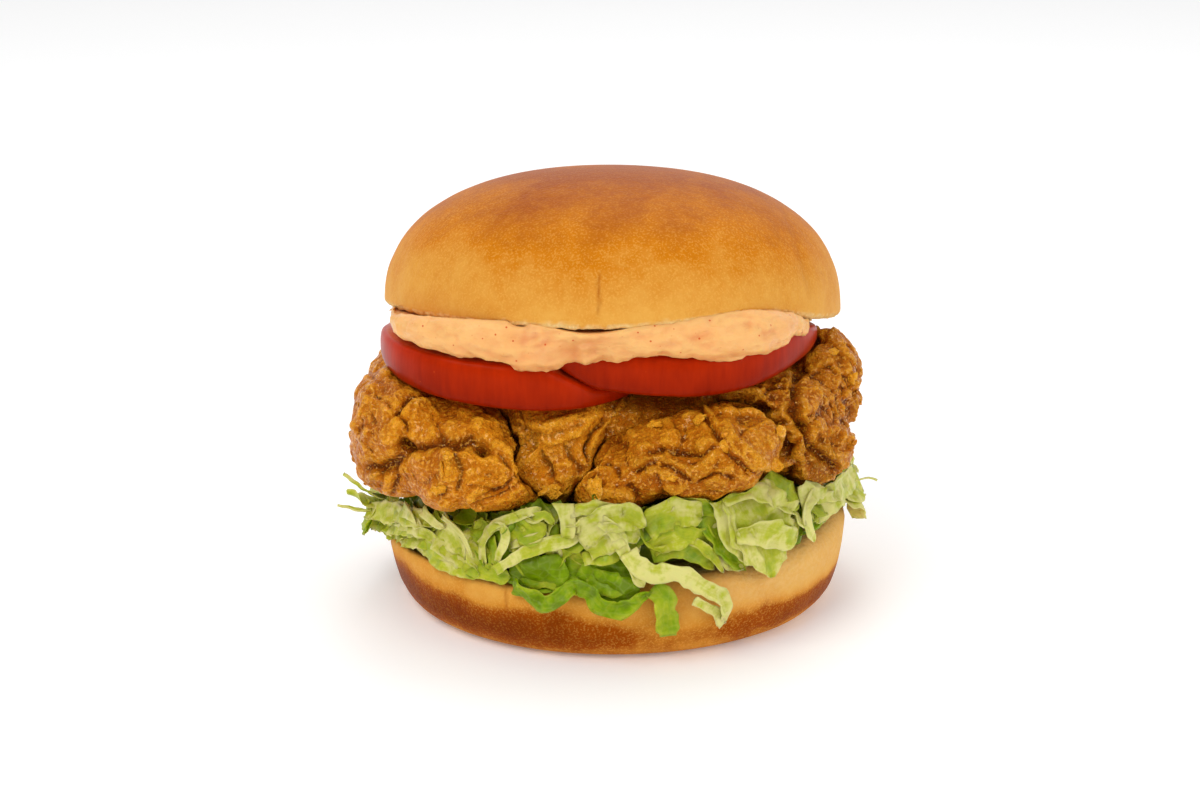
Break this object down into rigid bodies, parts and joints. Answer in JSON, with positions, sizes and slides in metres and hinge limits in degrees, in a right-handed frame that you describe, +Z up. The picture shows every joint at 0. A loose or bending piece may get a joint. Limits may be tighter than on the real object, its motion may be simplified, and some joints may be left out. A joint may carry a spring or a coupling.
{
  "type": "chicken burger",
  "caption": "Fried chicken burger: a domed bun over pale pink sauce, tomato slices, craggy fried chicken pieces and shredded lettuce on the bottom bun.",
  "frame": {"origin": "middle of the flat underside of the bottom bun, on the surface it rests on", "axes": "+Z up through the burger; -Y towards the front, where the lettuce hangs out most; +X to the right seen from the front"},
  "size_m": [0.1293, 0.1241, 0.1061],
  "materials": {
    "bun": "soft golden baked crust, slightly glossy on top and pale by the cut",
    "lettuce": "moist pale to bright green leaf, slightly see-through",
    "chicken": "crisp golden brown fried coating with a slight oil shine",
    "tomato": "smooth shiny red skin round a moist cut slice",
    "sauce": "thick creamy pale orange pink sauce with small red specks"
  },
  "bodies": {
    "root": {"bun_heel": "bun", "lettuce": "lettuce", "chicken_left": "chicken", "chicken_middle": "chicken", "chicken_front": "chicken", "chicken_right": "chicken", "tomato_left": "tomato", "tomato_right": "tomato", "sauce": "sauce", "bun_crown": "bun"}
  },
  "joints": []
}
